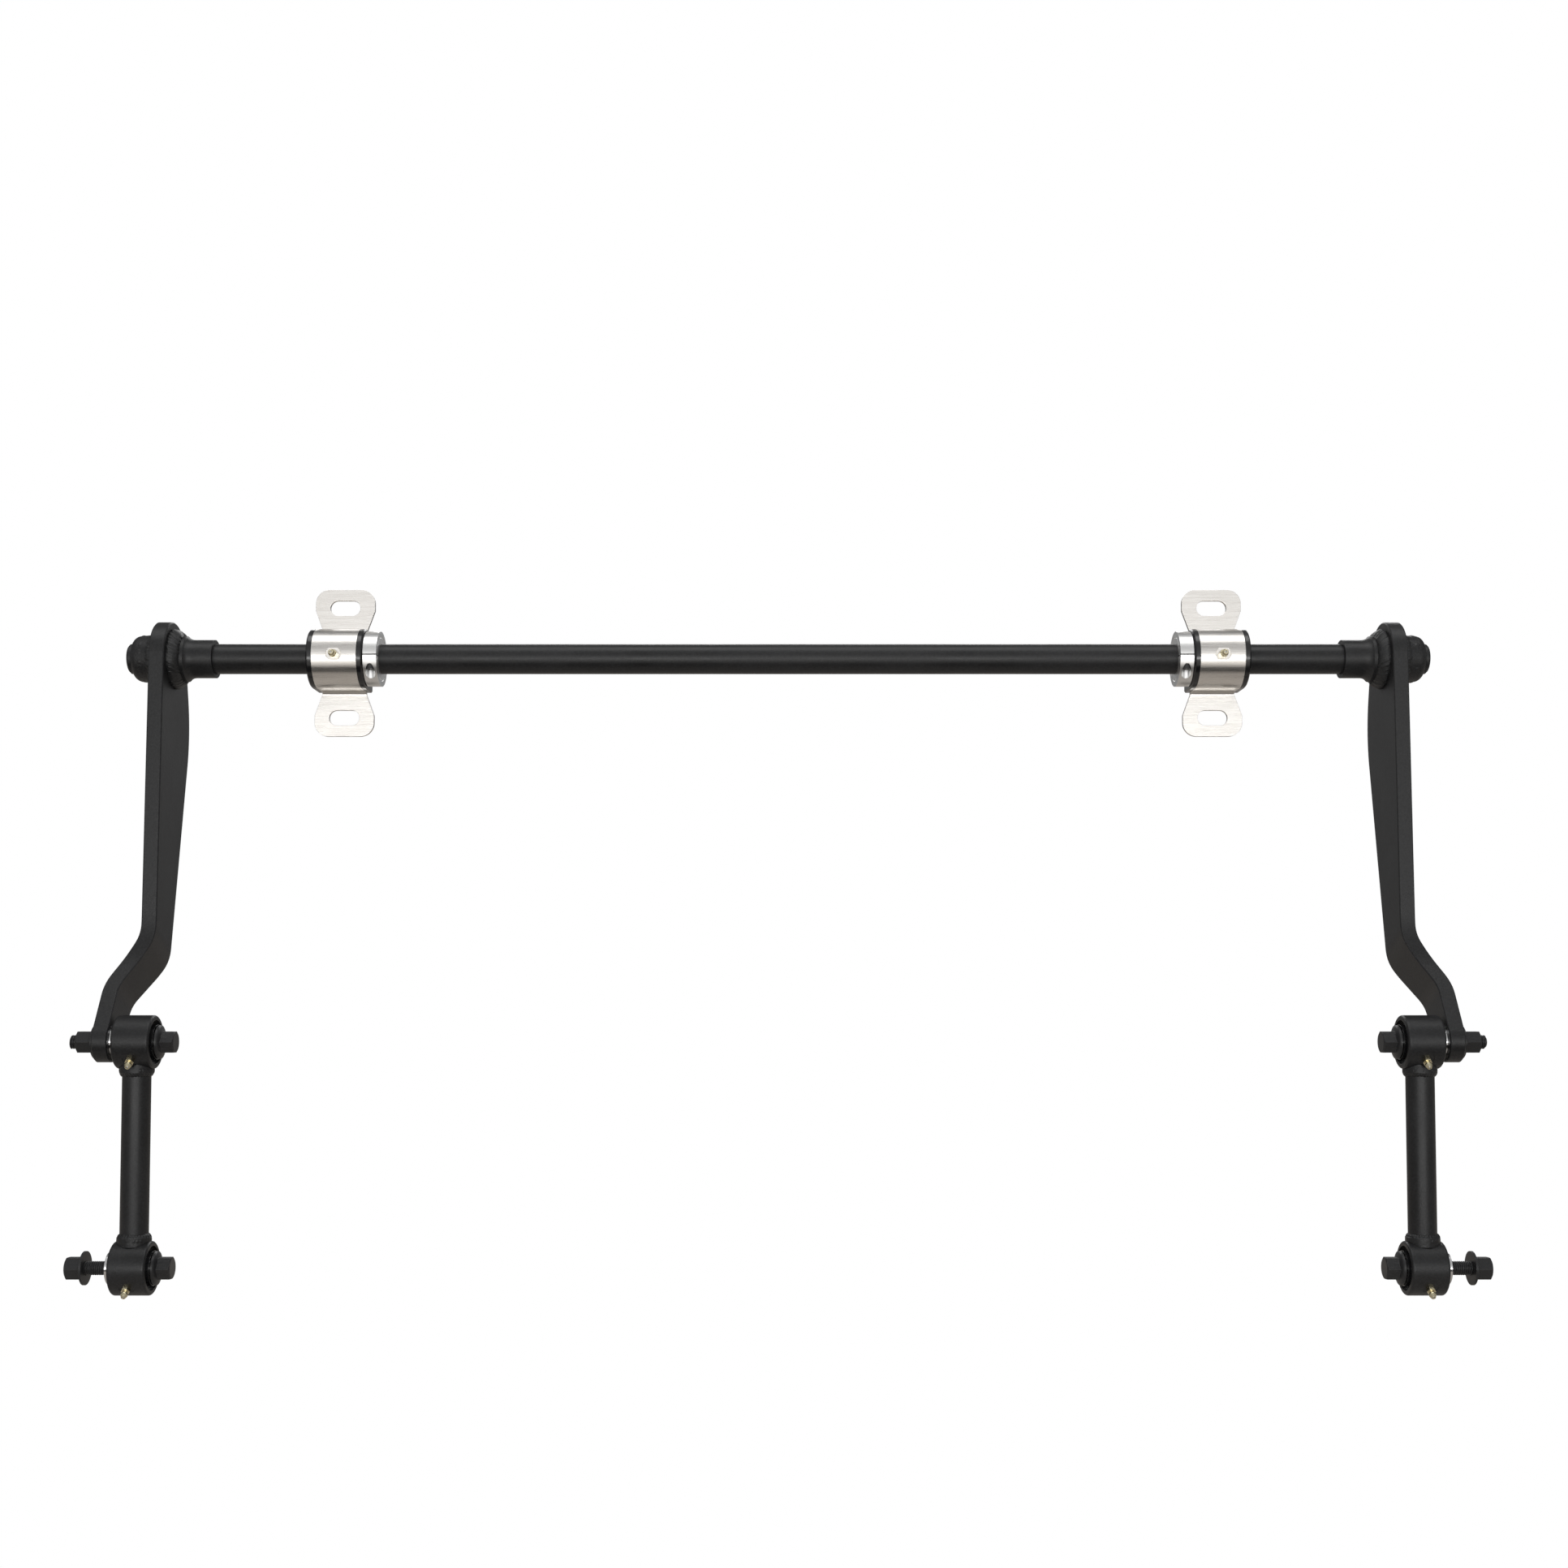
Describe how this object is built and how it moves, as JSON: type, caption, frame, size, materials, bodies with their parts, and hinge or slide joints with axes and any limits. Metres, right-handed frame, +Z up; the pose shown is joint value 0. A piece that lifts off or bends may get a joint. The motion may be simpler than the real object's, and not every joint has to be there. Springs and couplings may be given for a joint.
{
  "type": "sway bar",
  "caption": "Straight torsion bar with welded crescent arms, greasable bracket mounts, clamp collars and a swinging end link at each arm tip.",
  "frame": {"origin": "middle of the four bracket slots, on the plane the bracket feet bolt to", "axes": "+X along the bar to its right end, +Y backwards through the bracket feet into the frame, +Z up; the arms and links hang to -Z"},
  "size_m": [1.2816, 0.1578, 0.6634],
  "materials": {
    "powder_coat": "fine-textured black powder coat",
    "strap_steel": "brushed stainless",
    "bush_black": "glossy black polyurethane",
    "zinc_yellow": "yellow zinc plate",
    "ball_steel": "polished steel ball",
    "sleeve_steel": "bright turned steel",
    "bolt_black": "dark oxide",
    "collar_aluminium": "satin clear anodised",
    "screw_black": "black oxide"
  },
  "bodies": {
    "brackets": {"bracket_strap_left": "strap_steel", "bracket_bush_left": "bush_black", "bracket_fitting_left": "zinc_yellow", "bracket_fitting_ball_left": "ball_steel", "bracket_strap_right": "strap_steel", "bracket_bush_right": "bush_black", "bracket_fitting_right": "zinc_yellow", "bracket_fitting_ball_right": "ball_steel"},
    "bar": {"torsion_bar": "powder_coat", "hub_left": "powder_coat", "arm_left": "powder_coat", "arm_weld_inner_left": "powder_coat", "arm_weld_outer_left": "powder_coat", "link_bolt_upper_left": "bolt_black", "link_sleeve_upper_left": "sleeve_steel", "link_nut_upper_left": "bolt_black", "collar_upper_left": "collar_aluminium", "collar_lower_left": "collar_aluminium", "collar_screws_left": "screw_black", "collar_upper_right": "collar_aluminium", "collar_lower_right": "collar_aluminium", "collar_screws_right": "screw_black"},
    "right_arm": {"hub_right": "powder_coat", "arm_right": "powder_coat", "arm_weld_inner_right": "powder_coat", "arm_weld_outer_right": "powder_coat", "link_bolt_upper_right": "bolt_black", "link_sleeve_upper_right": "sleeve_steel", "link_nut_upper_right": "bolt_black"},
    "link_left": {"link_tube_left": "powder_coat", "link_eye_upper_left": "powder_coat", "link_weld_upper_left": "powder_coat", "link_bush_upper_left": "bush_black", "link_fitting_upper_left": "zinc_yellow", "link_fitting_upper_ball_left": "ball_steel", "link_eye_lower_left": "powder_coat", "link_weld_lower_left": "powder_coat", "link_bush_lower_left": "bush_black", "link_fitting_lower_left": "zinc_yellow", "link_fitting_lower_ball_left": "ball_steel"},
    "link_right": {"link_tube_right": "powder_coat", "link_eye_upper_right": "powder_coat", "link_weld_upper_right": "powder_coat", "link_bush_upper_right": "bush_black", "link_fitting_upper_right": "zinc_yellow", "link_fitting_upper_ball_right": "ball_steel", "link_eye_lower_right": "powder_coat", "link_weld_lower_right": "powder_coat", "link_bush_lower_right": "bush_black", "link_fitting_lower_right": "zinc_yellow", "link_fitting_lower_ball_right": "ball_steel"},
    "axle_stud_left": {"link_bolt_lower_left": "bolt_black", "link_sleeve_lower_left": "sleeve_steel", "link_nut_lower_left": "bolt_black"},
    "axle_stud_right": {"link_bolt_lower_right": "bolt_black", "link_sleeve_lower_right": "sleeve_steel", "link_nut_lower_right": "bolt_black"}
  },
  "joints": [
    {"name": "bar_roll", "type": "hinge", "parent": "brackets", "child": "bar", "pos_m": [0, -0.0245, 0], "axis": [1, 0, 0], "range_deg": [-30, 30]},
    {"name": "bar_twist", "type": "hinge", "parent": "bar", "child": "right_arm", "pos_m": [0.578, -0.0245, 0], "axis": [1, 0, 0], "range_deg": [-15, 15], "stiffness_Nm_per_rad": 4500},
    {"name": "link_left_swing", "type": "hinge", "parent": "bar", "child": "link_left", "pos_m": [-0.58075, -0.106, -0.3645], "axis": [1, 0, 0], "range_deg": [-110, 75]},
    {"name": "link_right_swing", "type": "hinge", "parent": "right_arm", "child": "link_right", "pos_m": [0.58075, -0.106, -0.3645], "axis": [1, 0, 0], "range_deg": [-110, 75]},
    {"name": "axle_stud_left_swivel", "type": "hinge", "parent": "link_left", "child": "axle_stud_left", "pos_m": [-0.58075, -0.106, -0.5677], "axis": [1, 0, 0], "range_deg": [-45, 45]},
    {"name": "axle_stud_right_swivel", "type": "hinge", "parent": "link_right", "child": "axle_stud_right", "pos_m": [0.58075, -0.106, -0.5677], "axis": [1, 0, 0], "range_deg": [-45, 45]}
  ]
}
